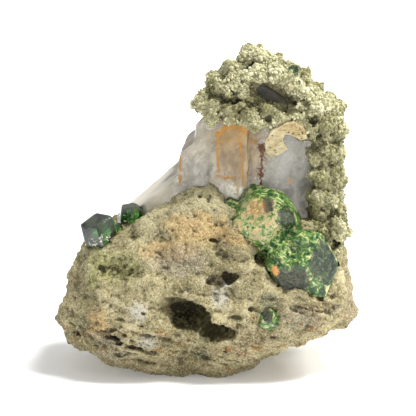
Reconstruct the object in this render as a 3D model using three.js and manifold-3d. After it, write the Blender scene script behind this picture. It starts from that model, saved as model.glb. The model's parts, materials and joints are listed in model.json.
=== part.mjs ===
// A demantoid garnet specimen: green garnet crystals and a stained quartz crystal in porous skarn rock.
// Millimetres, +Z up. The front looks towards -Y, with +X to the right. The origin is on the flat foot.

import * as THREE from "three";
import { ConvexGeometry } from "three/addons/geometries/ConvexGeometry.js";
import { ImprovedNoise } from "three/addons/math/ImprovedNoise.js";
import { mergeVertices } from "three/addons/utils/BufferGeometryUtils.js";
import Module from "manifold-3d";

const wasm = await Module();
wasm.setup();

// Driving dimensions

const GAP = 0.3; // between each crystal and the rock that holds it
const BEYOND = 200; // larger than the specimen, for the cut that makes the foot flat

// A face is flat: it goes through a point and looks outwards.
const face = (through, facing) => ({ through, facing });

// The masses that the rock has grown together from, each given by its broken faces.
const BLOCK = {
  centre: [0, 0, 14],
  halfSize: [30, 18, 14],
  detail: 9,
  bluntness: 20,
  relief: { height: 2.2, wavelength: 8 },
  faces: [
    face([0, 0, -1.3], [0, 0, -1]),
    face([-22, -6, 3.6], [-0.43, -0.1, -0.9]),
    face([13, -6, 4.4], [0.44, -0.1, -0.89]),
    face([0, -9.6, 0], [0, -0.62, -0.78]),
    face([-30.4, 0, 9], [-1, 0, -0.2]),
    face([-25.2, 0, 20.4], [-0.93, 0, 0.37]),
    face([28.1, 0, 16.6], [0.95, 0, 0.31]),
    face([0, -19, 11], [0, -0.99, -0.1]),
    face([0, -16.4, 21], [0, -0.9, 0.42]),
    face([-18, -4, 28.4], [-0.16, -0.06, 0.98]),
    face([10, 0, 31], [0.02, 0, 1]),
    face([0, 18.6, 13], [0, 1, 0.1]),
    face([0, 14, 25], [0, 0.8, 0.6]),
    face([0, 12, 3], [0, 0.6, -0.8]),
    face([-24.4, -13.4, 14], [-0.66, -0.74, 0.06]),
    face([26.6, -13.4, 14], [0.8, -0.58, 0.1]),
    face([-25, 12, 12], [-0.7, 0.7, 0]),
    face([24, 14, 14], [0.66, 0.74, 0]),
  ],
};

const KNOB = {
  centre: [-4, -7, 26],
  halfSize: [10, 8, 11],
  detail: 4,
  bluntness: 16,
  relief: { height: 1.4, wavelength: 5 },
  faces: [
    face([-1.6, -8, 36.2], [0.02, -0.2, 0.98]),
    face([-8.8, -8, 34.4], [-0.86, -0.1, 0.5]),
    face([-14, -8, 29.6], [-0.46, -0.1, 0.88]),
    face([3.2, -8, 35], [0.7, -0.1, 0.7]),
    face([4.6, -8, 31], [0.98, 0, 0.2]),
    face([-2, -13.2, 31], [0.1, -0.88, 0.46]),
    face([0, -16.8, 23], [0, -0.94, 0.34]),
    face([-10, -14.4, 26], [-0.5, -0.84, 0.2]),
    face([-4, -1, 28], [0, 1, 0.1]),
    face([-4, -7, 16], [0, 0, -1]),
  ],
};

const SPUR = {
  centre: [22, -3, 13],
  halfSize: [9, 11, 7],
  detail: 3,
  bluntness: 24,
  relief: { height: 1.4, wavelength: 6 },
  faces: [
    face([28, -3, 17], [0.95, 0, 0.32]),
    face([24, -3, 9.2], [0.3, 0, -0.95]),
    face([20, -16.6, 13], [0.16, -0.98, 0.1]),
    face([28.4, -8, 13], [0.88, -0.46, 0.1]),
    face([20, 9, 13], [0.3, 0.95, 0]),
    face([14, -3, 13], [-1, 0, 0]),
    face([20, -3, 20], [0.1, 0, 1]),
  ],
};

const COLUMN = {
  centre: [23.6, 2, 36],
  halfSize: [4, 10, 15],
  detail: 5,
  bluntness: 12,
  relief: { height: 2, wavelength: 3.6 },
  faces: [
    face([26.6, 2, 36], [1, 0, 0]),
    face([20.6, 2, 36], [-1, 0, 0]),
    face([23.6, -8, 36], [0, -0.99, 0.12]),
    face([23.6, 11.4, 36], [0, 0.97, 0.22]),
    face([25.4, -6.4, 36], [0.7, -0.7, 0.1]),
    face([25.4, 9, 36], [0.7, 0.7, 0.1]),
    face([23.6, 2, 20], [0, 0, -1]),
    face([23.6, 2, 51.4], [0.4, 0, 0.92]),
  ],
};

const CAP = {
  centre: [13, 2, 55],
  halfSize: [15, 10, 9],
  detail: 7,
  bluntness: 16,
  relief: { height: 1.9, wavelength: 4.4 },
  faces: [
    face([0.6, 2, 56.4], [-0.87, 0, 0.49]),
    face([5.4, 2, 60.1], [-0.6, 0, 0.8]),
    face([18.2, 2, 57.5], [0.61, 0, 0.79]),
    face([10, 2, 65.6], [0, 0, 1]),
    face([12, -4.6, 60.4], [0, -0.6, 0.8]),
    face([12, 9.4, 60], [0, 0.7, 0.71]),
    face([26.6, 2, 50], [1, 0, 0]),
    face([-2, 2, 53], [-1, 0, 0.1]),
    face([9, -8, 50], [-0.3, 0, -0.95]),
    face([12, -8.4, 54], [0, -1, 0.2]),
    face([12, 13.4, 54], [0, 1, 0.15]),
    face([3, -6.6, 56], [-0.5, -0.84, 0.2]),
    face([23, -7, 54], [0.6, -0.8, 0.1]),
  ],
};

// Round masses on the rock: two ledges, a lap over the cluster, the column's root, the cap's corner
// and peak, and a lobe of the foot.
const SWELLINGS = [
  { at: [-25, -6, 11.4], size: [4.8, 8, 2.8] },
  { at: [-11.6, -9.6, 28.8], size: [3.6, 3.8, 3.2] },
  { at: [5.6, -12.4, 27], size: [4.4, 3.6, 4.4] },
  { at: [25, -5, 28], size: [2.4, 4.6, 6] },
  { at: [1.4, -2, 53], size: [3.4, 6.4, 3] },
  { at: [9.8, 1, 61.6], size: [2.6, 4, 2.4] },
  { at: [6, -4, 1.6], size: [4.2, 7.4, 2.6] },
];

// Hollows in the rock: the front's vug, pits, slots and the cap's window. The lean is in degrees about Y.
const HOLLOWS = [
  { at: [-4, -18.4, 14.6], size: [5.6, 8.4, 3.2], lean: 20 },
  { at: [1.4, -18.6, 11.4], size: [4.4, 6.4, 2], lean: 18 },
  { at: [4, -17.4, 21.4], size: [3.1, 4, 1.5], lean: -8 },
  { at: [2.2, -17.6, 20], size: [1.6, 3.4, 1.2], lean: 0 },
  { at: [10.6, -16, 24.6], size: [2.3, 4.4, 1.3], lean: 20 },
  { at: [-18.4, -17, 23], size: [7.4, 3.6, 4.2], lean: -15 },
  { at: [25.4, -9, 26.4], size: [1.5, 2.6, 1.8], lean: -20 },
  { at: [13.2, -7.4, 55.6], size: [5.4, 5.8, 2.9], lean: 22 },
  { at: [16.6, -8.6, 48.4], size: [3.6, 3.4, 2.4], lean: 30 },
  { at: [10, -9, 58.6], size: [2.2, 3, 1.2], lean: 35 },
  { at: [4.4, -9, 54.6], size: [3.4, 3, 0.9], lean: -3 },
  { at: [-29.6, -2, 7.6], size: [3, 9, 0.9], lean: 15 },
  { at: [-19.4, -17.4, 10], size: [3, 3, 0.7], lean: 15 },
  { at: [-12, -18, 6.6], size: [4, 3, 0.7], lean: 18 },
];

// The quartz, by its flat faces: the main crystal, the shoulder on its left and the low wedge beyond that.
const QUARTZ = [
  [
    face([6.5, -4, 40], [0, -1, 0.06]),
    face([-0.5, -3.2, 40], [-0.3, -0.95, 0]),
    face([16, -3.6, 40], [0.2, -0.98, 0]),
    face([-2.2, 2, 48], [-0.99, 0, 0.06]),
    face([22.4, 2, 40], [1, 0, 0]),
    face([8, 11, 40], [0, 1, 0.04]),
    face([-1, 8.6, 40], [-0.6, 0.8, 0]),
    face([2.4, -4, 54.2], [-0.7, 0.16, 0.7]),
    face([17, -4, 53.4], [0.6, 0.16, 0.8]),
    face([8, 2, 25], [0, 0, -1]),
  ],
  [
    face([-3.4, -3, 38], [-0.24, -0.97, 0.05]),
    face([-5.4, 2, 40], [-0.98, 0.1, 0.16]),
    face([-4, 2, 44.6], [-0.64, 0, 0.77]),
    face([8, 2, 38], [1, 0, 0]),
    face([0, 10, 38], [-0.2, 0.98, 0]),
    face([0, 2, 25], [0, 0, -1]),
  ],
  [
    face([-9, -2.4, 34], [-0.1, -0.98, 0.16]),
    face([-11.4, 2, 34.4], [-0.66, -0.05, 0.75]),
    face([-18, 2, 29], [-0.94, 0, 0.3]),
    face([2, 2, 34], [1, 0, 0]),
    face([-8, 8.4, 34], [-0.12, 0.98, 0.1]),
    face([-8, 2, 24.4], [0, 0, -1]),
  ],
];

// The garnets, in crystals that have grown together. A radius runs from a crystal's middle to its rhombs.
const GARNETS = {
  garnet_left: [
    { at: [-21.2, -9, 28.6], radius: 3.4, turn: [20, 35, 12] },
    { at: [-17.9, -7.4, 29], radius: 1.2, turn: [50, 20, 30] },
  ],
  garnet_left_rear: [{ at: [-15, -3.6, 31], radius: 2.2, turn: [48, 10, 40] }],
  garnet_cluster: [
    { at: [11.4, -8.6, 30.4], radius: 6.4, turn: [155, 18, 61] },
    { at: [18.2, -10.8, 22.2], radius: 6.7, turn: [78, -48, -40] },
    { at: [14.6, -14.2, 25.2], radius: 2.6, turn: [10, 50, 70] },
    { at: [18.4, -13.6, 27.4], radius: 2.4, turn: [60, 20, 15] },
    { at: [4.6, -5.6, 32], radius: 2.4, turn: [15, 60, 25] },
  ],
  garnet_low: [{ at: [12, -17.7, 13.3], radius: 2, turn: [30, 5, 45] }],
  garnet_top: [{ at: [17, -3, 60], radius: 1, turn: [5, 40, 20] }],
};
const GROWTH_SPREAD = 0.1; // how unequally the rhombs of one garnet have grown
const BEVEL_REACH = 1.1; // of the narrow faces along the rhombs' edges, in radii

// The thin shard that leans from the quartz against the cap, outlined in X and up its own face.
const FLAKE = {
  foot: [0, -5.4, 43.2],
  lean: 29,
  thickness: 0.7,
  outline: [
    [11.6, 0.8], [11.4, 4.2], [12.6, 6.8], [14.4, 8.2], [17, 9], [18.8, 7.6], [19.8, 4.8],
    [18.6, 4.4], [16.8, 5.6], [15.4, 6], [14.8, 4.6], [16, 2], [14.2, 0.6], [12.6, 0],
  ],
};

// Finishes

const finish = (color, roughness) => new THREE.MeshStandardMaterial({ color, roughness, metalness: 0 });
const ROCK_FINISH = finish(0xb0a680, 0.95);
const QUARTZ_FINISH = finish(0xc4beb0, 0.25);
const GARNET_FINISH = finish(0x2f7a2c, 0.2);
const FLAKE_FINISH = finish(0xe6d6ac, 0.9);

// Solids

const noise = new ImprovedNoise();
const vector = (xyz) => new THREE.Vector3(...xyz);

function solidOf(geometry) {
  geometry.deleteAttribute("normal");
  geometry.deleteAttribute("uv");
  const merged = mergeVertices(geometry);
  const vertProperties = merged.getAttribute("position").array;
  const triVerts = new Uint32Array(merged.index.array);
  return new wasm.Manifold(new wasm.Mesh({ numProp: 3, vertProperties, triVerts }));
}

function meshOf(name, solid, material) {
  const { vertProperties, triVerts } = solid.getMesh();
  const geometry = new THREE.BufferGeometry();
  geometry.setAttribute("position", new THREE.BufferAttribute(vertProperties, 3));
  geometry.setIndex(new THREE.BufferAttribute(triVerts, 1));
  geometry.computeVertexNormals();
  const mesh = new THREE.Mesh(geometry, material);
  mesh.name = name;
  return mesh;
}

const join = (solids) => solids.reduce((whole, solid) => whole.add(solid));
const cut = (solid, tools) => tools.reduce((whole, tool) => whole.subtract(tool), solid);

// The largest body of a solid, without the crumbs that cuts have set free.
function mainBody(solid) {
  return solid.decompose().reduce((most, body) => (body.volume() > most.volume() ? body : most));
}

// A closed crystal between flat faces, each moved outwards by grow.
function crystalBetween(faces, grow) {
  const planes = faces.map(({ through, facing }) => {
    const normal = vector(facing).normalize();
    return new THREE.Plane(normal, -normal.dot(vector(through)) - grow);
  });
  return solidOf(new ConvexGeometry(cornersOf(planes)));
}

const ON_PLANE = 1e-6;

// The points where three planes meet that no other plane cuts away.
function cornersOf(planes) {
  const corners = [];
  planes.forEach((a, i) =>
    planes.slice(0, i).forEach((b, j) =>
      planes.slice(0, j).forEach((c) => {
        const bc = b.normal.clone().cross(c.normal);
        const volume = a.normal.dot(bc);
        if (Math.abs(volume) < ON_PLANE) return;
        const corner = bc
          .multiplyScalar(-a.constant)
          .addScaledVector(c.normal.clone().cross(a.normal), -b.constant)
          .addScaledVector(a.normal.clone().cross(b.normal), -c.constant)
          .divideScalar(volume);
        if (planes.every((plane) => plane.distanceToPoint(corner) < ON_PLANE)) corners.push(corner);
      }),
    ),
  );
  return corners;
}

// The point of a mass's skin in one direction from its centre: on its broken faces, with blunt edges.
function surfacePoint({ centre, faces, bluntness, relief }, direction) {
  const middle = vector(centre);
  const nearness = faces.reduce((sum, { through, facing }) => {
    const normal = vector(facing).normalize();
    const distance = normal.dot(vector(through).sub(middle));
    return sum + Math.max(0, normal.dot(direction) / distance) ** bluntness;
  }, 0);
  const point = middle.addScaledVector(direction, nearness ** (-1 / bluntness));
  return point.addScaledVector(direction, lumpiness(point, relief));
}

// Lumps of one wavelength with finer ones on them.
function lumpiness({ x, y, z }, { height, wavelength }) {
  const wave = (size) => noise.noise(x / size, y / size, z / size);
  return height * (wave(wavelength) + 0.6 * wave(wavelength / 2.3));
}

function mass(shape) {
  const geometry = new THREE.IcosahedronGeometry(1, shape.detail);
  const position = geometry.getAttribute("position");
  const halfSize = vector(shape.halfSize);
  for (let i = 0; i < position.count; i++) {
    const direction = new THREE.Vector3().fromBufferAttribute(position, i).multiply(halfSize).normalize();
    position.setXYZ(i, ...surfacePoint(shape, direction));
  }
  return solidOf(geometry);
}

// A rough ellipsoid, for a swelling or a hollow.
function lump({ at, size, lean = 0 }, detail, rough) {
  const geometry = new THREE.IcosahedronGeometry(1, detail);
  geometry.scale(...size);
  geometry.rotateY(THREE.MathUtils.degToRad(lean));
  geometry.translate(...at);
  const position = geometry.getAttribute("position");
  const centre = vector(at);
  for (let i = 0; i < position.count; i++) {
    const point = new THREE.Vector3().fromBufferAttribute(position, i);
    const outwards = point.clone().sub(centre).normalize();
    position.setXYZ(i, ...point.addScaledVector(outwards, lumpiness(point, rough)));
  }
  return solidOf(geometry);
}

// The specimen's pieces

// Garnet faces of one kind, from the numbers that give how they lean to the crystal's own three axes.
function garnetFaces({ at, radius, turn }, [long, short, rest], reach) {
  const attitude = new THREE.Euler(...turn.map(THREE.MathUtils.degToRad));
  const faces = [];
  const add = (x, y, z) => {
    const normal = new THREE.Vector3(x, y, z).normalize().applyEuler(attitude);
    const growth = noise.noise(7.3 * normal.x + at[0], 7.3 * normal.y, 7.3 * normal.z);
    const out = radius * reach * (1 + GROWTH_SPREAD * growth);
    faces.push(face(vector(at).addScaledVector(normal, out).toArray(), normal.toArray()));
  };
  const signs = (number) => (number === 0 ? [0] : [number, -number]);
  for (const a of signs(long)) {
    for (const b of signs(short)) {
      for (const c of signs(rest)) {
        add(c, a, b);
        add(b, c, a);
        add(a, b, c);
      }
    }
  }
  return faces;
}

const rhombs = (crystal) => garnetFaces(crystal, [1, 1, 0], 1);
const bevels = (crystal) => garnetFaces(crystal, [2, 1, 1], BEVEL_REACH);
const grown = (one) => crystalBetween([...rhombs(one), ...bevels(one)], 0);
const garnet = (crystals) => join(crystals.map(grown));
const garnetSocket = (crystals) => join(crystals.map((one) => crystalBetween(rhombs(one), GAP)));
const quartzBody = (grow = 0) => join(QUARTZ.map((faces) => crystalBetween(faces, grow)));

function flakeBody(grow = 0) {
  const shape = new THREE.Shape(FLAKE.outline.map((point) => new THREE.Vector2(...point)));
  const depth = FLAKE.thickness + 2 * grow;
  const settings = { bevelEnabled: grow > 0, bevelSize: grow, bevelThickness: 0, bevelSegments: 1 };
  const geometry = new THREE.ExtrudeGeometry(shape, { depth, ...settings });
  geometry.translate(0, 0, -depth / 2);
  geometry.rotateX(THREE.MathUtils.degToRad(90 + FLAKE.lean));
  geometry.translate(...FLAKE.foot);
  return solidOf(geometry);
}

function matrixBody(crystals) {
  const swellings = SWELLINGS.map((one) => lump(one, 2, { height: 1, wavelength: 3 }));
  const hollows = HOLLOWS.map((one) => lump(one, one.size[0] > 3 ? 2 : 1, { height: 0.6, wavelength: 2 }));
  const belowFoot = solidOf(new THREE.BoxGeometry(BEYOND, BEYOND, BEYOND).translate(0, 0, -BEYOND / 2));
  const rock = join([...[BLOCK, KNOB, SPUR, COLUMN, CAP].map(mass), ...swellings]);
  return mainBody(cut(rock, [belowFoot, ...hollows, ...crystals]));
}

const specimen = new THREE.Group();
const garnetNames = Object.keys(GARNETS);
const sockets = garnetNames.map((name) => garnetSocket(GARNETS[name]));
const quartz = mainBody(cut(quartzBody(), sockets));
specimen.add(
  meshOf("matrix", matrixBody([quartzBody(GAP), flakeBody(GAP), ...sockets]), ROCK_FINISH),
  meshOf("quartz", quartz, QUARTZ_FINISH),
  ...garnetNames.map((name) => meshOf(name, garnet(GARNETS[name]), GARNET_FINISH)),
  meshOf("pale_flake", flakeBody(), FLAKE_FINISH),
);

export default specimen;
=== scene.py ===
"""A demantoid garnet specimen: green garnets and a rust-stained quartz crystal in porous skarn rock."""

import functools
import json
import math

import bpy
import numpy as np
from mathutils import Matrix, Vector, noise
from mathutils.bvhtree import BVHTree

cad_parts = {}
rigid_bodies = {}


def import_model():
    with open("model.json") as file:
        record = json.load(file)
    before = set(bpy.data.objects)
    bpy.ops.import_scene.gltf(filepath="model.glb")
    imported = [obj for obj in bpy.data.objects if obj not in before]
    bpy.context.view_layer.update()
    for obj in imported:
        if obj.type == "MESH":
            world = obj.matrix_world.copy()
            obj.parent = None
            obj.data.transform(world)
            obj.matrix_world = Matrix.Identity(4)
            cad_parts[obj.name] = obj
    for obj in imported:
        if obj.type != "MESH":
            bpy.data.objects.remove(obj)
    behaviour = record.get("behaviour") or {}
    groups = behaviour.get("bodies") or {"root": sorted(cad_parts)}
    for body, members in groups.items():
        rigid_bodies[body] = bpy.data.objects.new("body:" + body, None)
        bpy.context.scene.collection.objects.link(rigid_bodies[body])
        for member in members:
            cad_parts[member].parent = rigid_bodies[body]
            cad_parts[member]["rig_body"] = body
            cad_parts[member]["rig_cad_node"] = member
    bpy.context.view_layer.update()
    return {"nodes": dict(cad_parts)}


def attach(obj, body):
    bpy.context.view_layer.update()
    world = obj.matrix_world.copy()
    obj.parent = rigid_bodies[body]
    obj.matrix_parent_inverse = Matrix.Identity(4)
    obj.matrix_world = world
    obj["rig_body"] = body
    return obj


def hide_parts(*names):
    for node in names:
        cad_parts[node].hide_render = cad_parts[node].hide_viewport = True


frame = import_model()

MM = 0.001

# The photograph's view

PIXEL = 0.2  # millimetres across a pixel of the photograph, at the middle of the specimen
HALF_FRAME = 208  # pixels from the frame's edge to its middle
FRAME_MIDDLE = Vector((0.2, 0, 31.7))  # the place over the foot that is seen at the frame's middle
EYE_HEIGHT = math.radians(12)
EYE_DISTANCE = 600
SENSOR = 36
NEAR_CLIP = 10
RIGHT = Vector((1, 0, 0))
UP = Vector((0, math.sin(EYE_HEIGHT), math.cos(EYE_HEIGHT)))
EYE = FRAME_MIDDLE + EYE_DISTANCE * Vector((0, -math.cos(EYE_HEIGHT), math.sin(EYE_HEIGHT)))


def tree_of(piece):
    """A search tree of a piece's faces, in metres."""
    return BVHTree.FromObject(piece, bpy.context.evaluated_depsgraph_get())


SOLIDS = {name: tree_of(node) for name, node in frame["nodes"].items()}


def seen(column, row, names=SOLIDS):
    """What the photograph shows of these solids at a pixel: the place in millimetres, and its facing."""
    aim = FRAME_MIDDLE + PIXEL * ((column - HALF_FRAME) * RIGHT + (HALF_FRAME - row) * UP)
    hits = [SOLIDS[name].ray_cast(EYE * MM, (aim - EYE).normalized()) for name in names]
    where, facing, _, _ = min((hit for hit in hits if hit[0]), key=lambda hit: hit[3])
    return where / MM, facing


def spot(column, row, across, high, deep=3, names=SOLIDS):
    """A spot on these solids: its middle and its half sizes, from the pixels that it covers."""
    return seen(column, row, names)[0], (across * PIXEL, deep, high * PIXEL)


def add_camera():
    bpy.ops.object.camera_add(location=EYE * MM, rotation=(math.pi / 2 - EYE_HEIGHT, 0, 0))
    camera = bpy.context.object
    camera.data.sensor_width = SENSOR
    camera.data.lens = SENSOR * EYE_DISTANCE / (2 * HALF_FRAME * PIXEL)
    camera.data.clip_start = NEAR_CLIP * MM
    bpy.context.scene.camera = camera


# Finishes


class Wire:
    """An output of a finish's nodes. Sums on values add Math nodes."""

    def __init__(self, finish, socket):
        self.finish = finish
        self.socket = socket

    def sum(self, operation, *values):
        return self.finish.node("ShaderNodeMath", {"operation": operation}, dict(enumerate(values)))

    def __add__(self, other):
        return self.sum("ADD", self, other)

    def __sub__(self, other):
        return self.sum("SUBTRACT", self, other)

    def __rsub__(self, other):
        return self.sum("SUBTRACT", other, self)

    def __mul__(self, other):
        return self.sum("MULTIPLY", self, other)

    __radd__ = __add__
    __rmul__ = __mul__

    def most(self, other):
        return self.sum("MAXIMUM", self, other)

    def least(self, other):
        return self.sum("MINIMUM", self, other)

    def from_to(self, low, high):
        """0 up to low, 1 from high on, and smooth between them."""
        sockets = {"Value": self, "From Min": low, "From Max": high}
        return self.finish.node("ShaderNodeMapRange", {"interpolation_type": "SMOOTHSTEP"}, sockets)


class Finish:
    """A material and the nodes that make it. Its patterns are measured in millimetres."""

    def __init__(self, name):
        self.material = bpy.data.materials.new(name)
        self.material.use_nodes = True
        self.tree = self.material.node_tree
        self.tree.nodes.clear()
        self.output = self.tree.nodes.new("ShaderNodeOutputMaterial")
        metres = self.node("ShaderNodeTexCoord", {}, {}, "Object")
        self.place = self.vector("SCALE", metres, Scale=1 / MM)

    def node(self, kind, settings, sockets, output=0):
        node = self.tree.nodes.new(kind)
        for name, value in settings.items():
            if name == "stops":
                self.set_stops(node.color_ramp, value)
            else:
                setattr(node, name, value)
        for name, value in sockets.items():
            if isinstance(value, Wire):
                self.tree.links.new(value.socket, node.inputs[name])
            else:
                node.inputs[name].default_value = value
        return Wire(self, node.outputs[output])

    @staticmethod
    def set_stops(ramp, stops):
        while len(ramp.elements) < len(stops):
            ramp.elements.new(1)
        for element, (position, colour) in zip(ramp.elements, stops):
            element.position = position
            element.color = colour

    def vector(self, operation, *values, **named):
        sockets = {**dict(enumerate(values)), **named}
        return self.node("ShaderNodeVectorMath", {"operation": operation}, sockets)

    def dot(self, first, second):
        sockets = {0: first, 1: second}
        return self.node("ShaderNodeVectorMath", {"operation": "DOT_PRODUCT"}, sockets, "Value")

    def length(self, vector):
        return self.node("ShaderNodeVectorMath", {"operation": "LENGTH"}, {0: vector}, "Value")

    def mix(self, share, first, second):
        return self.node("ShaderNodeMix", {"data_type": "RGBA"}, {0: share, 6: first, 7: second}, 2)

    def noise(self, size, detail=3, rough=0.55, stretch=(1, 1, 1), turn=(0, 0, 0), distortion=0):
        """Cloudy values round one half, size millimetres across and drawn out by stretch."""
        sockets = {"Vector": self.turned(stretch, turn), "Scale": 1 / size}
        sockets |= {"Detail": detail, "Roughness": rough, "Distortion": distortion}
        return self.node("ShaderNodeTexNoise", {}, sockets)

    def turned(self, stretch, turn):
        sockets = {"Vector": self.place, "Rotation": turn, "Scale": stretch}
        return self.node("ShaderNodeMapping", {"vector_type": "TEXTURE"}, sockets)

    def cells(self, size):
        """How far each place is from the middle of its cell, in cells size millimetres across."""
        sockets = {"Vector": self.place, "Scale": 1 / size}
        return self.node("ShaderNodeTexVoronoi", {}, sockets, "Distance")

    def fragments(self, size):
        """A value from 0 to 1 for each of the irregular fragments, which are size millimetres across."""
        wander = self.node("ShaderNodeTexNoise", {}, {"Vector": self.place, "Scale": 1 / size}, "Color")
        bent = self.vector("MULTIPLY_ADD", wander, (size,) * 3, self.place)
        cells = self.node("ShaderNodeTexVoronoi", {}, {"Vector": bent, "Scale": 1 / size}, "Color")
        return self.node("ShaderNodeSeparateColor", {}, {"Color": cells}, "Red")

    def ramp(self, value, *stops):
        """A colour by value, from stops of a value and a colour."""
        return self.node("ShaderNodeValToRGB", {"stops": stops}, {"Fac": value})

    def spots(self, places, ragged, edge=0.35):
        """1 within these spots and 0 outside them, with an edge that the ragged values fray."""
        frayed = (ragged - 0.5) * 2
        marks = []
        for centre, size in places:
            away = self.vector("SUBTRACT", self.place, centre)
            reach = self.length(self.vector("DIVIDE", away, size))
            marks.append(1 - (reach + frayed).from_to(1 - edge, 1 + edge))
        return functools.reduce(Wire.most, marks)

    def daub(self, colour, places, ragged, share, over, edge=0.35):
        """The colour with a share of another one over these spots."""
        return self.mix(self.spots(places, ragged, edge) * share, colour, over)

    def facets(self, pixels, ragged):
        """1 on the cluster's facets that these pixels show, each out to a reach in pixels, or else 0."""
        normal = self.node("ShaderNodeNewGeometry", {}, {}, "Normal")
        marks = []
        for column, row, reach in pixels:
            where, facing = seen(column, row, ["garnet_cluster"])
            close = self.spots([(where, (reach * PIXEL,) * 3)], ragged)
            marks.append(close * (self.dot(normal, facing) + 0.3 * (ragged - 0.5)).from_to(0.86, 0.93))
        return functools.reduce(Wire.most, marks)

    def streaks(self, lines, ragged):
        """1 along lines from place to place, each with its half width, and 0 beside them."""
        frayed = (ragged - 0.5) * 5
        marks = []
        for start, end, width in lines:
            along = end - start
            away = self.vector("SUBTRACT", self.place, start)
            share = self.dot(away, along) * (1 / along.length_squared)
            nearest = self.vector("SCALE", along, Scale=share.most(0).least(1))
            reach = self.length(self.vector("SUBTRACT", away, nearest)) * (1 / width)
            marks.append(1 - (reach + frayed).from_to(0.6, 1.3))
        return functools.reduce(Wire.most, marks)

    def bump(self, height, distance, strength):
        sockets = {"Height": height, "Distance": distance * MM, "Strength": strength}
        return self.node("ShaderNodeBump", {}, sockets)

    def principled(self, **sockets):
        named = {name.replace("_", " "): value for name, value in sockets.items()}
        return self.node("ShaderNodeBsdfPrincipled", {}, named)

    def blend(self, share, first, second):
        return self.node("ShaderNodeMixShader", {}, {0: share, 1: first, 2: second})

    def absorption(self, colour, density):
        return self.node("ShaderNodeVolumeAbsorption", {}, {"Color": colour, "Density": density})

    def surface(self, shader):
        self.tree.links.new(shader.socket, self.output.inputs["Surface"])

    def volume(self, shader):
        self.tree.links.new(shader.socket, self.output.inputs["Volume"])

    def attribute(self, name):
        return self.node("ShaderNodeAttribute", {"attribute_name": name}, {}, "Fac")


def tint(red, green, blue):
    """A colour as it is seen on a screen, from 0 to 255, in the linear values that nodes take."""

    def linear(value):
        value /= 255
        return value / 12.92 if value <= 0.04045 else ((value + 0.055) / 1.055) ** 2.4

    return linear(red), linear(green), linear(blue), 1


# Pieces

MERGE_DISTANCE = 0.01
WEIGHT_LEVELS = 10
EVENING_ROUNDS = 12  # how often a skin is evened out to find its hollows
SHARP_TURN = math.radians(25)  # edges that turn by more than this stay sharp on a garnet
LAYER_TURN = (0, math.radians(17), 0)  # how the rock's layers dip to the right


def only(piece):
    """Selects this piece and nothing else."""
    bpy.ops.object.select_all(action="DESELECT")
    piece.select_set(True)
    bpy.context.view_layer.objects.active = piece


def copy_of(node, name):
    """A merged copy of a CAD node that can be worked on."""
    only(frame["nodes"][node])
    bpy.ops.object.duplicate()
    piece = bpy.context.object
    bpy.ops.object.parent_clear(type="CLEAR_KEEP_TRANSFORM")
    piece.name = name
    piece.data.name = name
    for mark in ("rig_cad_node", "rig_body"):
        del piece[mark]
    bpy.ops.object.mode_set(mode="EDIT")
    bpy.ops.mesh.select_all(action="SELECT")
    bpy.ops.mesh.remove_doubles(threshold=MERGE_DISTANCE * MM)
    bpy.ops.object.mode_set(mode="OBJECT")
    return piece


def modify(piece, kind, **settings):
    """Adds a modifier with these settings and applies it."""
    only(piece)
    modifier = piece.modifiers.new(kind.title(), kind)
    for name, value in settings.items():
        setattr(modifier, name, value)
    bpy.ops.object.modifier_apply(modifier=modifier.name)


def pattern(kind, size, **settings):
    """A displacement pattern, size millimetres across."""
    texture = bpy.data.textures.new(kind.lower(), kind)
    texture.noise_scale = size * MM
    for name, value in settings.items():
        setattr(texture, name, value)
    return texture


def pits_pattern(size):
    """A displacement pattern of small pits, size millimetres apart."""
    texture = pattern("VORONOI", size, distance_metric="DISTANCE", use_color_ramp=True)
    Finish.set_stops(texture.color_ramp, [(0.1, (0, 0, 0, 1)), (0.3, (1, 1, 1, 1))])
    return texture


def push(piece, height, texture=None, middle=0.5, where="", stretch=None):
    """Pushes a piece's skin out by a pattern, height millimetres between its darkest and its lightest."""
    settings = {"strength": height * MM, "mid_level": middle if texture else 0, "vertex_group": where}
    if texture:
        settings["texture"] = texture
        settings["texture_coords"] = "LOCAL"
    if stretch:
        bpy.ops.object.empty_add(rotation=LAYER_TURN)
        layers = bpy.context.object
        layers.scale = stretch
        bpy.context.view_layer.update()
        settings["texture_coords"] = "OBJECT"
        settings["texture_coords_object"] = layers
    modify(piece, "DISPLACE", **settings)
    if stretch:
        bpy.data.objects.remove(layers)


def points_of(piece):
    points = np.empty(len(piece.data.vertices) * 3)
    piece.data.vertices.foreach_get("co", points)
    return points.reshape(-1, 3) / MM


def move_points(piece, points):
    piece.data.vertices.foreach_set("co", (points * MM).ravel())
    piece.data.update()


def lift_over_foot(piece):
    """Brings what has been pushed under the floor back to the flat foot."""
    points = points_of(piece)
    points[:, 2] = np.maximum(points[:, 2], 0)
    move_points(piece, points)


def within(points, places):
    """1 at the middle of these spots, falling to 0 at their edges."""
    shares = np.zeros(len(points))
    for centre, size in places:
        reach = np.linalg.norm((points - np.array(centre)) / np.array(size), axis=1)
        shares = np.maximum(shares, np.clip(1.6 * (1.1 - reach), 0, 1))
    return shares


def hollowness(piece):
    """How deep each vertex lies below its surroundings, with one half on an even surface."""
    points = points_of(piece)
    edges = np.empty(len(piece.data.edges) * 2, dtype=np.int32)
    piece.data.edges.foreach_get("vertices", edges)
    ends = edges.reshape(-1, 2)
    starts, stops = np.concatenate([ends, ends[:, ::-1]]).T
    count = np.bincount(starts, minlength=len(points))
    even = points
    for _ in range(EVENING_ROUNDS):
        even = np.stack([np.bincount(starts, even[stops, axis]) / count for axis in range(3)], 1)
    normals = np.empty(len(points) * 3)
    piece.data.vertices.foreach_get("normal", normals)
    depth = np.sum((even - points) * normals.reshape(-1, 3), axis=1)
    return np.clip(0.5 + depth, 0, 1)


def keep(piece, name, values):
    """Keeps a value at each vertex for the finish to read."""
    piece.data.attributes.new(name, "FLOAT", "POINT").data.foreach_set("value", values)


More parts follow.
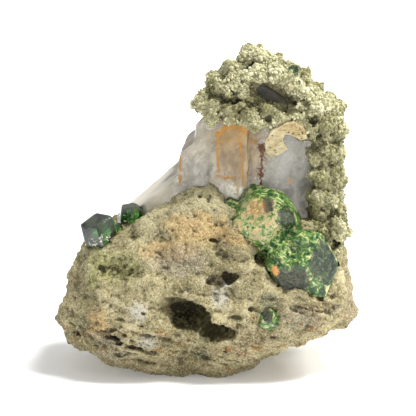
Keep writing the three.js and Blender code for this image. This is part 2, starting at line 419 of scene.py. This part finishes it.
def weigh(piece, name, weights):
    """A vertex group that holds these weights."""
    group = piece.vertex_groups.new(name=name)
    for level in range(1, WEIGHT_LEVELS + 1):
        members = np.flatnonzero(np.round(weights * WEIGHT_LEVELS) == level)
        group.add(members.tolist(), level / WEIGHT_LEVELS, "REPLACE")


def shade_round(piece):
    only(piece)
    bpy.ops.object.shade_smooth()


def shade_faceted(piece):
    only(piece)
    bpy.ops.object.shade_smooth_by_angle(angle=SHARP_TURN)


def finish_piece(piece, node, finish):
    piece.data.materials.clear()
    piece.data.materials.append(finish.material)
    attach(piece, "root")
    if node:
        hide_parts(node)


# The rock

ROCK_VOXEL = 0.3
ROCK_TRIANGLES = 195000
SWELLING = 0.25  # how far the rock is pushed out all over, once it is smoothed
PITTED_PATCH = 5  # how far across the patches of small pits are
TOUCHING = 0.7  # how near a crystal the rock's skin is when it grows onto it
CAP_FOOT = 45  # the height at which the cap's crust starts
CAP_FADE = 3  # how much higher it is whole
COLUMN_FOOT = 22  # the height at which the column's crust starts
COLUMN_FADE = 6
COLUMN_SIDE = 19  # how far to the right the column's crust starts
COLUMN_SIDE_FADE = 2
VUG_RIM = -17.2  # from the front to the back, where the painted shade in the vug starts
VUG_WALL = -16  # and where it is whole
VUG = [spot(190, 316, 26, 13, 9), spot(212, 330, 16, 9, 8)]
PITS = [
    spot(208, 198, 4, 4), spot(214, 240, 5, 2), spot(200, 196, 2, 2), spot(262, 256, 12, 7),
    spot(232, 276, 9, 8), spot(212, 281, 7, 5), spot(327, 240, 6, 7), spot(302, 112, 8, 4),
    spot(252, 310, 5, 3), spot(234, 318, 8, 3), spot(273, 337, 4, 2), spot(185, 353, 4, 2),
    spot(107, 331, 10, 3), spot(118, 343, 9, 2), spot(94, 348, 7, 3), spot(76, 335, 6, 4),
    spot(150, 363, 8, 2), spot(166, 361, 7, 2), spot(130, 355, 8, 2), spot(140, 326, 4, 2),
    spot(296, 106, 7, 4), spot(314, 121, 6, 6), spot(322, 140, 5, 6), spot(252, 66, 6, 5),
    spot(238, 92, 10, 4),
]
PITTED = [
    spot(120, 340, 60, 26, 12), spot(150, 322, 24, 16), spot(252, 280, 40, 24), spot(320, 310, 26, 20),
    spot(240, 345, 60, 20, 10), spot(214, 240, 30, 10), spot(230, 330, 34, 16),
    ((0, 18, 14), (40, 12, 30)),
]
RECESS = [spot(112, 266, 28, 15, 5), spot(92, 280, 8, 8)]
OPENINGS = [spot(270, 88, 26, 13, 9), spot(290, 134, 20, 14, 5)]  # the cap's window and round the shard
BEDDED = [spot(118, 345, 70, 28, 12), spot(320, 305, 30, 26, 8), spot(230, 360, 60, 14, 10)]


def crust_share(points):
    """How far each point belongs to the granular crust of the cap and the column."""
    x, _, z = points.T
    cap = np.clip((z - CAP_FOOT) / CAP_FADE, 0, 1)
    column = np.clip((x - COLUMN_SIDE) / COLUMN_SIDE_FADE, 0, 1)
    column = column * np.clip((z - COLUMN_FOOT) / COLUMN_FADE, 0, 1)
    return np.maximum(cap, column) * (1 - within(points, OPENINGS))


def make_rock():
    rock = copy_of("matrix", "rock")
    modify(rock, "REMESH", mode="VOXEL", voxel_size=ROCK_VOXEL * MM)
    modify(rock, "SMOOTH", factor=0.5, iterations=6)
    points = points_of(rock)
    crust = crust_share(points)
    patches = np.array([noise.noise(point / PITTED_PATCH) for point in points])
    shares = {
        "crust": crust,
        "block": 1 - crust,
        "bedded": within(points, BEDDED) * (1 - crust),
        "pitted": within(points, PITTED) * (1 - crust) * np.clip(0.4 + 2.5 * patches, 0, 1),
        "recess": within(points, RECESS),
        "vug": within(points, VUG),
        "pits": within(points, PITS),
    }
    for name, weights in shares.items():
        weigh(rock, name, weights)
    push(rock, SWELLING)
    push(rock, 2.4, pattern("CLOUDS", 5, noise_depth=3), where="block")
    push(rock, 0.8, pattern("CLOUDS", 1.2, noise_depth=2), 0.55, "block", stretch=(4, 3, 1))
    push(rock, 0.8, pattern("CLOUDS", 0.8, noise_depth=2), 0.55, "block")
    push(rock, 0.7, pits_pattern(1.5), 1, "pitted", stretch=(2, 1.5, 0.8))
    push(rock, 1.8, pattern("CLOUDS", 0.8, noise_depth=2), 0.6, "bedded", stretch=(5, 3, 1))
    push(rock, 1.8, pattern("CLOUDS", 1.3, noise_depth=2), 0.65, "recess")
    push(rock, -3, pattern("VORONOI", 3.2, distance_metric="DISTANCE"), 0.5, "crust")
    push(rock, 1.2, pattern("CLOUDS", 1.2, noise_depth=2), 0.6, "crust")
    push(rock, -0.9, where="pits")
    push(rock, -1.2, where="vug")
    push(rock, 1.5, pattern("CLOUDS", 0.9, noise_depth=2), where="vug")
    lift_over_foot(rock)
    keep(rock, "hollow", hollowness(rock))
    grow_onto_crystals(rock)
    keep(rock, "granular", crust)
    modify(rock, "TRIANGULATE")
    modify(rock, "DECIMATE", ratio=min(1, ROCK_TRIANGLES / len(rock.data.polygons)))
    shade_round(rock)
    finish_piece(rock, "matrix", rock_finish())
    return rock


def grow_onto_crystals(rock):
    """Closes the gap round each crystal: the rock's skin that is near a crystal touches it."""
    points = points_of(rock)
    for name, tree in SOLIDS.items():
        if name == "matrix":
            continue
        corners = np.array([corner[:] for corner in frame["nodes"][name].bound_box]) / MM
        low, high = corners.min(axis=0) - TOUCHING, corners.max(axis=0) + TOUCHING
        for one in np.flatnonzero(np.all((points > low) & (points < high), axis=1)):
            nearest = tree.find_nearest(Vector(points[one]) * MM, TOUCHING * MM)[0]
            if nearest:
                points[one] = nearest / MM
    move_points(rock, points)


def rock_finish():
    rock = Finish("skarn rock")
    fine = rock.noise(0.36, 3, 0.8)
    middle = rock.noise(2.2, 3, 0.6)
    broad = rock.noise(9, 2)
    colour = rock.mix(broad.from_to(0.35, 0.65), tint(146, 136, 95), tint(192, 180, 136))
    colour = rock.mix(middle.from_to(0.5, 0.66) * 0.8, colour, tint(128, 120, 86))
    colour = rock.mix(middle.from_to(0.46, 0.34) * 0.7, colour, tint(206, 196, 158))
    colour = rock_patches(rock, colour, fine, middle, broad)
    crust = rock.mix(middle, tint(130, 128, 90), tint(188, 184, 142))
    colour = rock.mix(rock.attribute("granular"), colour, crust)
    colour = rock.mix(fine.from_to(0.54, 0.62) * 0.7, colour, tint(88, 76, 46))
    colour = rock.mix(fine.from_to(0.46, 0.38) * 0.65, colour, tint(226, 217, 188))
    # Painted shade in the pores: dark dots that the bump also sinks.
    pores = (1 - rock.cells(0.9).from_to(0.14, 0.26)) * middle.from_to(0.4, 0.56)
    colour = rock.mix(pores * 0.65, colour, tint(70, 60, 36))
    # Painted shade: the skin is darker where it lies in a hollow.
    colour = rock.mix(rock.attribute("hollow").from_to(0.54, 0.85) * 0.75, colour, tint(48, 42, 26))
    # The vug's walls darker towards the back: partly their olive colour, partly painted shade.
    inside = rock.dot(rock.place, (0, 1, 0)).from_to(VUG_RIM, VUG_WALL)
    colour = rock.daub(colour, VUG, middle, inside * 0.9, tint(116, 110, 76), 0.25)
    # Painted shadow in the vug's darkest part.
    vug_shadow = [spot(184, 312, 18, 11, 9)]
    colour = rock.daub(colour, vug_shadow, middle, inside * 0.85, tint(44, 42, 30), 0.5)
    normal = rock.bump(fine - 0.5 * pores, 0.4, 0.9)
    rock.surface(rock.principled(Base_Color=colour, Roughness=0.92, Normal=normal))
    return rock


def rock_patches(rock, colour, fine, middle, broad):
    """The rock's stains and patches over its colour, each on its own spots."""
    knob = [spot(196, 212, 38, 26, 6), spot(160, 224, 22, 14, 6), spot(202, 194, 30, 16, 10)]
    colour = rock.daub(colour, knob, middle, 0.8, tint(180, 172, 134), 0.5)
    peach = [
        spot(200, 228, 34, 18), spot(240, 234, 24, 12), spot(170, 252, 26, 10), spot(96, 325, 20, 14),
    ]
    colour = rock.daub(colour, peach, middle, 0.7, tint(198, 164, 106))
    grey = [spot(178, 262, 30, 14), spot(300, 318, 20, 12), spot(104, 340, 16, 10), spot(112, 356, 20, 8)]
    colour = rock.daub(colour, grey, middle, 0.5, tint(150, 142, 126))
    brown = [spot(325, 305, 26, 26), spot(250, 350, 34, 16), spot(140, 362, 34, 12)]
    layers = rock.noise(0.9, 3, 0.6, (6, 4, 1), LAYER_TURN).from_to(0.42, 0.62)
    colour = rock.daub(colour, brown, middle, layers * 0.8, tint(132, 110, 76))
    low = [spot(220, 345, 150, 34, 20)]
    rust = rock.noise(1.4, 3, 0.65, (2.2, 1.4, 1), LAYER_TURN).from_to(0.57, 0.62)
    colour = rock.daub(colour, low, broad, rust * 0.85, tint(146, 102, 44))
    white = [spot(220, 297, 8, 9), spot(147, 343, 9, 7), spot(138, 312, 8, 9), spot(226, 284, 6, 4)]
    colour = rock.daub(colour, white, fine, 0.8, tint(204, 200, 186), 0.5)
    green = [spot(203, 357, 9, 4), spot(268, 301, 9, 8), spot(86, 322, 9, 5), spot(234, 224, 7, 12)]
    colour = rock.daub(colour, green, middle, 0.6, tint(88, 102, 78))
    right_end = [((29.5, -3, 15), (3.2, 12, 8))]
    colour = rock.daub(colour, right_end, broad, 0.75, tint(152, 138, 110))
    return rock.daub(colour, RECESS, middle, 0.85, tint(186, 182, 124))


# The grains of the crust

GRAIN_COUNT = 9000
GRAIN_RADIUS = (0.2, 0.5)
GRAIN_STRETCH = (0.45, 1.35)  # the least and the most along each of its axes, in radii
GRAIN_STANDS = 0.2  # how far its middle stands out of the rock, in radii
GRAIN_CLEARANCE = 0.5  # between a grain's middle and a crystal
GRAIN_SEED = 7


def make_grains(rock):
    """Tiny crystals grown all over the crust, as one mesh."""
    chance = np.random.default_rng(GRAIN_SEED)
    centres, normals, hollows = scattered(rock, chance)
    bpy.ops.object.select_all(action="DESELECT")
    bpy.ops.mesh.primitive_ico_sphere_add(subdivisions=1, radius=1)
    grains = bpy.context.object
    grains.name = "crust_grains"
    corners = points_of(grains) * MM
    faces = np.array([face.vertices for face in grains.data.polygons])
    low, high = GRAIN_RADIUS
    radii = low + (high - low) * chance.random(len(centres)) ** 2
    shapes = corners * radii[:, None, None] * chance.uniform(*GRAIN_STRETCH, (len(centres), 1, 3))
    turned = np.einsum("gij,gcj->gci", turns(len(centres), chance), shapes)
    points = centres[:, None] + GRAIN_STANDS * radii[:, None, None] * normals[:, None] + turned
    joined = faces + len(corners) * np.arange(len(centres))[:, None, None]
    grains.data = bpy.data.meshes.new("crust_grains")
    grains.data.from_pydata((points.reshape(-1, 3) * MM).tolist(), [], joined.reshape(-1, 3).tolist())
    keep(grains, "shade", np.repeat(chance.random(len(centres)), len(corners)))
    keep(grains, "hollow", np.repeat(hollows, len(corners)))
    finish_piece(grains, None, grain_finish())


def scattered(rock, chance):
    """Places on the crust, in the vug and in the recess, with their outward directions and hollowness."""
    points = points_of(rock)
    faces = np.array([face.vertices for face in rock.data.polygons])
    sides = points[faces]
    across = np.cross(sides[:, 1] - sides[:, 0], sides[:, 2] - sides[:, 0])
    area = np.linalg.norm(across, axis=1)
    middles = sides.mean(axis=1)
    share = np.maximum(crust_share(middles), 0.7 * within(middles, RECESS))
    share = np.maximum(share, 0.6 * within(middles, VUG))
    likely = area * share
    drawn = chance.choice(len(faces), 2 * GRAIN_COUNT, p=likely / likely.sum())
    crystals = [tree for name, tree in SOLIDS.items() if name != "matrix"]

    def is_open(one):
        middle = Vector(middles[one] * MM)
        return all(tree.find_nearest(middle, GRAIN_CLEARANCE * MM)[0] is None for tree in crystals)

    open_faces = [one for one in drawn if is_open(one)][:GRAIN_COUNT]
    hollow = np.empty(len(points))
    rock.data.attributes["hollow"].data.foreach_get("value", hollow)
    return middles[open_faces], across[open_faces] / area[open_faces, None], hollow[faces[open_faces, 0]]


def turns(count, chance):
    """Random turns, as matrices."""
    w, x, y, z = chance.normal(size=(4, count))
    size = np.sqrt(w * w + x * x + y * y + z * z)
    w, x, y, z = w / size, x / size, y / size, z / size
    rows = [
        [1 - 2 * (y * y + z * z), 2 * (x * y - w * z), 2 * (x * z + w * y)],
        [2 * (x * y + w * z), 1 - 2 * (x * x + z * z), 2 * (y * z - w * x)],
        [2 * (x * z - w * y), 2 * (y * z + w * x), 1 - 2 * (x * x + y * y)],
    ]
    return np.moveaxis(np.array(rows), 2, 0)


def grain_finish():
    grain = Finish("crust grains")
    shade = grain.attribute("shade")
    broad = grain.noise(5, 2)
    pale = grain.mix(shade, tint(170, 167, 125), tint(226, 221, 184))
    olive = grain.mix(shade, tint(92, 90, 54), tint(146, 142, 98))
    colour = grain.mix(broad.from_to(0.42, 0.6), olive, pale)
    column = [spot(330, 160, 20, 60, 20), spot(320, 215, 24, 24, 14)]
    colour = grain.daub(colour, column, broad, 0.9, olive)
    # Paler grains on the cap's top: partly their own colour, partly painted light from above.
    top = [spot(262, 62, 26, 18, 9), spot(300, 88, 24, 10, 8), spot(322, 102, 12, 8, 8)]
    bright = grain.mix(shade, tint(190, 187, 148), tint(234, 230, 196))
    colour = grain.daub(colour, top, broad, 0.8, bright)
    # Painted shade: grains that sit in hollows are darker.
    colour = grain.mix(grain.attribute("hollow").from_to(0.5, 0.95) * 0.8, colour, tint(70, 67, 38))
    colour = grain.daub(colour, [*VUG, *RECESS], broad, 0.75, tint(134, 132, 82))
    # Painted shade on the grains in the vug.
    colour = grain.daub(colour, VUG, broad, 0.7, tint(96, 92, 58), 0.3)
    grain.surface(grain.principled(Base_Color=colour, Roughness=0.6))
    return grain


# The quartz

QUARTZ_VOXEL = 0.25
QUARTZ_IOR = 1.54
QUARTZ_SMOKE = (0.76, 0.74, 0.7, 1)  # what the quartz lets through
QUARTZ_DENSITY = 160


def quartz_at(column, row):
    return seen(column, row, ["quartz"])[0]


def quartz_lines(width, *pixels):
    """Lines of one half width from each of these pixels to the next, on the quartz."""
    places = [quartz_at(*pixel) for pixel in pixels]
    return [(start, end, width) for start, end in zip(places, places[1:])]


def quartz_spot(column, row, across, high, deep=2):
    return spot(column, row, across, high, deep, ["quartz"])


def make_quartz():
    quartz = copy_of("quartz", "quartz_crystal")
    modify(quartz, "REMESH", mode="VOXEL", voxel_size=QUARTZ_VOXEL * MM)
    modify(quartz, "SMOOTH", factor=0.5, iterations=2)
    push(quartz, 0.5, pattern("CLOUDS", 5, noise_depth=2))
    push(quartz, 0.16, pattern("CLOUDS", 1, noise_depth=2))
    shade_round(quartz)
    finish_piece(quartz, "quartz", quartz_finish())


def quartz_finish():
    quartz = Finish("half-clear quartz")
    fine = quartz.noise(0.8, 3, 0.65)
    veil = quartz.noise(3.4, 4, 0.65, (1, 1, 2), (0, math.radians(30), 0))
    colour, clouds = quartz_clouds(quartz, veil)
    colour, stains = quartz_rust(quartz, colour, fine)
    # Painted shadow on the quartz seen in the cap's window, which also makes it milky there.
    shaded = quartz.spots([quartz_spot(268, 90, 22, 14)], veil, 0.4)
    colour = quartz.mix(shaded * 0.85, colour, tint(58, 58, 48))
    normal = quartz.bump(fine, 0.12, 0.5)
    milk = quartz.principled(Base_Color=colour, Roughness=0.4, Normal=normal)
    clear = quartz.principled(
        Base_Color=(1, 1, 1, 1), Roughness=0.14, IOR=QUARTZ_IOR, Transmission_Weight=1, Normal=normal
    )
    milky = clouds.most(stains).most(shaded * 0.9)
    quartz.surface(quartz.blend(milky, clear, milk))
    quartz.volume(quartz.absorption(QUARTZ_SMOKE, QUARTZ_DENSITY))
    return quartz


def quartz_clouds(quartz, veil):
    """The quartz's own colour with its veils and ribs, and how milky they make it."""
    broad = quartz.noise(8, 2)
    colour = quartz.mix(broad.from_to(0.38, 0.62), tint(150, 138, 112), tint(188, 177, 149))
    bluish = [quartz_spot(288, 170, 28, 46)]
    colour = quartz.daub(colour, bluish, broad, 0.8, tint(166, 168, 156), 0.5)
    tail = quartz.spots([quartz_spot(150, 190, 36, 30, 16)], broad, 0.6)
    colour = quartz.mix(tail, colour, tint(236, 229, 210))
    grey = [quartz_spot(196, 172, 16, 18), quartz_spot(275, 200, 20, 18)]
    colour = quartz.daub(colour, grey, veil, 0.7, tint(142, 136, 126), 0.6)
    colour = quartz.mix(veil.from_to(0.56, 0.7) * 0.7, colour, tint(228, 226, 220))
    ribs = quartz.noise(0.9, 2, 0.5, (1, 1, 9)).from_to(0.46, 0.56)
    ribbed = quartz.spots([quartz_spot(231, 196, 16, 16)], broad, 0.4)
    colour = quartz.mix(ribbed, colour, quartz.mix(ribs, tint(222, 218, 202), tint(255, 252, 242)))
    veiled = 0.45 + 0.4 * veil.from_to(0.4, 0.66)
    return colour, ribbed.most(tail * 0.95).most(veiled)


def quartz_rust(quartz, colour, fine):
    """The colour with the stained panel and its rusty lines, and how far these cover the quartz."""
    panel = quartz.spots([quartz_spot(241, 153, 26, 35, 8)], fine, 0.2)
    runs = quartz.noise(2, 3, 0.6, (1, 1, 2.2))
    stain = quartz.mix(runs.from_to(0.36, 0.62), tint(146, 108, 50), tint(198, 172, 116))
    colour = quartz.mix(panel * 0.8, colour, stain)
    upper = [quartz_spot(234, 136, 20, 12, 6)]
    colour = quartz.daub(colour, upper, fine, 0.55, tint(192, 146, 62), 0.5)
    outline = quartz_lines(0.3, (219, 172), (217, 150), (219, 134))
    outline += quartz_lines(0.55, (219, 134), (226, 128), (237, 126), (246, 132), (254, 142))
    outline += quartz_lines(0.3, (217, 176), (224, 178), (234, 177))
    outline += quartz_lines(0.22, (239, 138), (242, 160), (244, 186))
    outline += quartz_lines(0.3, (180, 158), (180, 186))
    grit = quartz.noise(0.4, 2, 0.6)
    rust = quartz.streaks(outline, grit)
    colour = quartz.mix(rust * 0.85, colour, tint(188, 132, 34))
    blotches = quartz_lines(0.75, (262, 147), (262, 154)) + quartz_lines(0.6, (261, 169), (261, 177))
    blotches += quartz_lines(0.22, (262, 155), (261, 186))
    brown = quartz.streaks(blotches, grit)
    colour = quartz.mix(brown * 0.95, colour, tint(104, 56, 4))
    speck = [quartz_spot(290, 181, 2, 4)]
    colour = quartz.daub(colour, speck, fine, 1, tint(206, 150, 84))
    return colour, (panel * 0.7).most(rust).most(brown)


# The garnets

CLEAR_GARNETS = ("garnet_left", "garnet_left_rear", "garnet_top")
GARNET_BEVEL = 0.12
CLUSTER_VOXEL = 0.17
GARNET_IOR = 1.888
GARNET_GREEN = (0.32, 0.7, 0.22, 1)  # what a clear garnet lets through
GARNET_DENSITY = 520


def cluster_spot(column, row, across, high):
    return spot(column, row, across, high, names=["garnet_cluster"])


# Where the cluster has broken into small fragments
BROKEN = [
    cluster_spot(288, 250, 22, 10), cluster_spot(286, 234, 14, 10), cluster_spot(250, 212, 22, 16),
    cluster_spot(267, 272, 7, 14),
]


def make_garnets():
    clear = garnet_finish()
    cloudy = cluster_finish()
    for node in (*CLEAR_GARNETS, "garnet_low"):
        garnet = copy_of(node, node.replace("garnet", "demantoid"))
        modify(garnet, "BEVEL", width=GARNET_BEVEL * MM, segments=2, limit_method="ANGLE")
        shade_faceted(garnet)
        finish_piece(garnet, node, clear if node in CLEAR_GARNETS else cloudy)
    cluster = copy_of("garnet_cluster", "demantoid_cluster")
    modify(cluster, "REMESH", mode="VOXEL", voxel_size=CLUSTER_VOXEL * MM)
    weigh(cluster, "broken", within(points_of(cluster), BROKEN))
    shattered = pattern("VORONOI", 1.3, weight_1=-1, weight_2=1, distance_metric="DISTANCE")
    push(cluster, 1.3, shattered, 0.45, "broken")
    shade_faceted(cluster)
    finish_piece(cluster, "garnet_cluster", cloudy)


def green_glass(garnet, colour, normal, roughness):
    """Clear green garnet, which takes its depth from what it absorbs."""
    garnet.volume(garnet.absorption(GARNET_GREEN, GARNET_DENSITY))
    return garnet.principled(
        Base_Color=colour, Roughness=roughness, IOR=GARNET_IOR, Specular_IOR_Level=0.35,
        Transmission_Weight=1, Normal=normal,
    )


def garnet_finish():
    garnet = Finish("demantoid garnet")
    fine = garnet.noise(0.5, 3, 0.65)
    middle = garnet.noise(1.8, 3, 0.6)
    colour = garnet.mix(middle.from_to(0.4, 0.6), tint(96, 160, 76), tint(176, 208, 144))
    normal = garnet.bump(middle, 0.1, 0.5)
    glass = green_glass(garnet, colour, normal, 0.04)
    cloudy = [spot(107, 226, 9, 10), spot(92, 222, 6, 7), spot(130, 208, 8, 5)]
    film = garnet.spots(cloudy, middle, 0.5) * 0.12
    specks = garnet.spots([spot(102, 243, 16, 8), spot(128, 219, 10, 6)], middle, 0.4)
    specks = specks * fine.from_to(0.58, 0.63)
    marks = garnet.mix(specks, tint(150, 162, 134), tint(224, 222, 196))
    opaque = garnet.principled(Base_Color=marks, Roughness=0.35, Normal=normal)
    garnet.surface(garnet.blend(film.most(specks), glass, opaque))
    return garnet


def cluster_finish():
    garnet = Finish("demantoid cluster")
    fine = garnet.noise(0.45, 3, 0.65)
    middle = garnet.noise(1.4, 3, 0.6)
    shards = garnet.fragments(0.8)
    flecks = garnet.noise(1.1, 5, 0.75, distortion=1)
    normal = garnet.bump(fine + 0.6 * shards, 0.25, 0.8)
    glass = green_glass(garnet, tint(150, 206, 120), normal, 0.08)
    front = garnet.spots([cluster_spot(252, 214, 24, 18), cluster_spot(264, 232, 18, 12)], middle, 0.4)
    front = front * (1 - garnet.spots([cluster_spot(256, 190, 30, 8)], middle))
    marks = garnet.ramp(
        flecks + 0.12 * (shards - 0.5) + 0.12 * front,
        (0.36, tint(20, 42, 25)), (0.43, tint(46, 90, 40)), (0.51, tint(92, 142, 64)),
        (0.57, tint(154, 174, 104)), (0.63, tint(214, 204, 154)), (0.72, tint(206, 170, 114)),
    )
    # Painted shade: near black over the facets that face this way and over one spot, where more of the
    # green glass also shows.
    dark = garnet.facets([(325, 262, 24)], middle)
    dark = dark.most(garnet.spots([cluster_spot(288, 216, 11, 15)], middle, 0.2))
    gloom = garnet.mix(flecks.from_to(0.42, 0.64), tint(8, 18, 12), tint(74, 94, 58))
    marks = garnet.mix(dark * 0.85, marks, gloom)
    rough = [cluster_spot(292, 281, 19, 15), cluster_spot(268, 204, 5, 9), spot(268, 316, 5, 6)]
    purple = garnet.spots(rough, middle, 0.25)
    stone = garnet.mix(fine.from_to(0.38, 0.62), tint(16, 14, 19), tint(76, 71, 63))
    marks = garnet.mix(purple * 0.9, marks, stone)
    orange = garnet.spots([cluster_spot(275, 271, 4, 5)], fine, 0.2)
    orange = orange.most(garnet.spots([cluster_spot(256, 208, 8, 9)], fine, 0.6) * 0.5)
    marks = garnet.mix(orange, marks, tint(206, 148, 80))
    cover = (0.7 + 0.3 * flecks.from_to(0.54, 0.6) - 0.2 * dark).most(purple).most(orange)
    opaque = garnet.principled(Base_Color=marks, Roughness=0.35, Normal=normal)
    garnet.surface(garnet.blend(cover, glass, opaque))
    return garnet


# The shard

SHARD_VOXEL = 0.12


def make_flake():
    flake = copy_of("pale_flake", "cream_shard")
    modify(flake, "REMESH", mode="VOXEL", voxel_size=SHARD_VOXEL * MM)
    modify(flake, "SMOOTH", factor=0.5, iterations=3)
    push(flake, 0.5, pattern("CLOUDS", 1.6, noise_depth=2))
    push(flake, 0.3, pattern("CLOUDS", 0.5, noise_depth=2))
    shade_round(flake)
    finish_piece(flake, "pale_flake", flake_finish())


def flake_finish():
    flake = Finish("cream shard")
    cloud = flake.noise(1.4, 3)
    fine = flake.noise(0.4, 3, 0.6)
    colour = flake.mix(cloud.from_to(0.4, 0.6), tint(188, 170, 128), tint(212, 200, 164))
    arch = [spot(294, 128, 18, 9)]
    brown = flake.mix(fine.from_to(0.4, 0.6), tint(150, 126, 78), tint(196, 172, 120))
    colour = flake.daub(colour, arch, cloud, 0.7, brown, 0.5)
    # Painted shade in the pits: dark dots that the bump also sinks.
    pits = 1 - (flake.cells(0.8) + 0.3 * (cloud - 0.5)).from_to(0.16, 0.28)
    colour = flake.mix(pits * 0.9, colour, tint(78, 64, 44))
    normal = flake.bump(fine - pits, 0.25, 0.9)
    flake.surface(flake.principled(Base_Color=colour, Roughness=0.9, Normal=normal))
    return flake


# Floor and light

FLOOR_SIZE = 6  # metres
FLOOR_WHITE = (0.9, 0.9, 0.9, 1)
FLOOR_GLOW = 0.2
ROOM_LIGHT = 0.58
LAMPS = [((0.8, 0.25, 0.75), 9), ((0.42, -0.18, 1), 14)]  # where each is, in metres, and its watts
LAMP_SIZE = 0.3  # metres
LAMP_AIM = Vector((0, 0, 0.03))  # about the middle of the specimen, in metres


def add_floor():
    bpy.ops.mesh.primitive_plane_add(size=FLOOR_SIZE)
    floor = bpy.context.object
    floor.name = "floor"
    paint = Finish("floor")
    glow = {"Emission_Color": FLOOR_WHITE, "Emission_Strength": FLOOR_GLOW}
    paint.surface(paint.principled(Base_Color=FLOOR_WHITE, Roughness=0.9, **glow))
    floor.data.materials.append(paint.material)


def add_light():
    world = bpy.data.worlds.new("soft light")
    bpy.context.scene.world = world
    world.use_nodes = True
    background = world.node_tree.nodes["Background"]
    background.inputs["Color"].default_value = (1, 1, 1, 1)
    background.inputs["Strength"].default_value = ROOM_LIGHT
    for place, energy in LAMPS:
        bpy.ops.object.light_add(type="AREA", location=place)
        lamp = bpy.context.object
        lamp.data.energy = energy
        lamp.data.size = LAMP_SIZE
        lamp.visible_glossy = False
        lamp.rotation_euler = (LAMP_AIM - lamp.location).to_track_quat("-Z", "Y").to_euler()
    bpy.context.scene.view_settings.view_transform = "Standard"


add_camera()
make_grains(make_rock())
make_quartz()
make_garnets()
make_flake()
add_floor()
add_light()
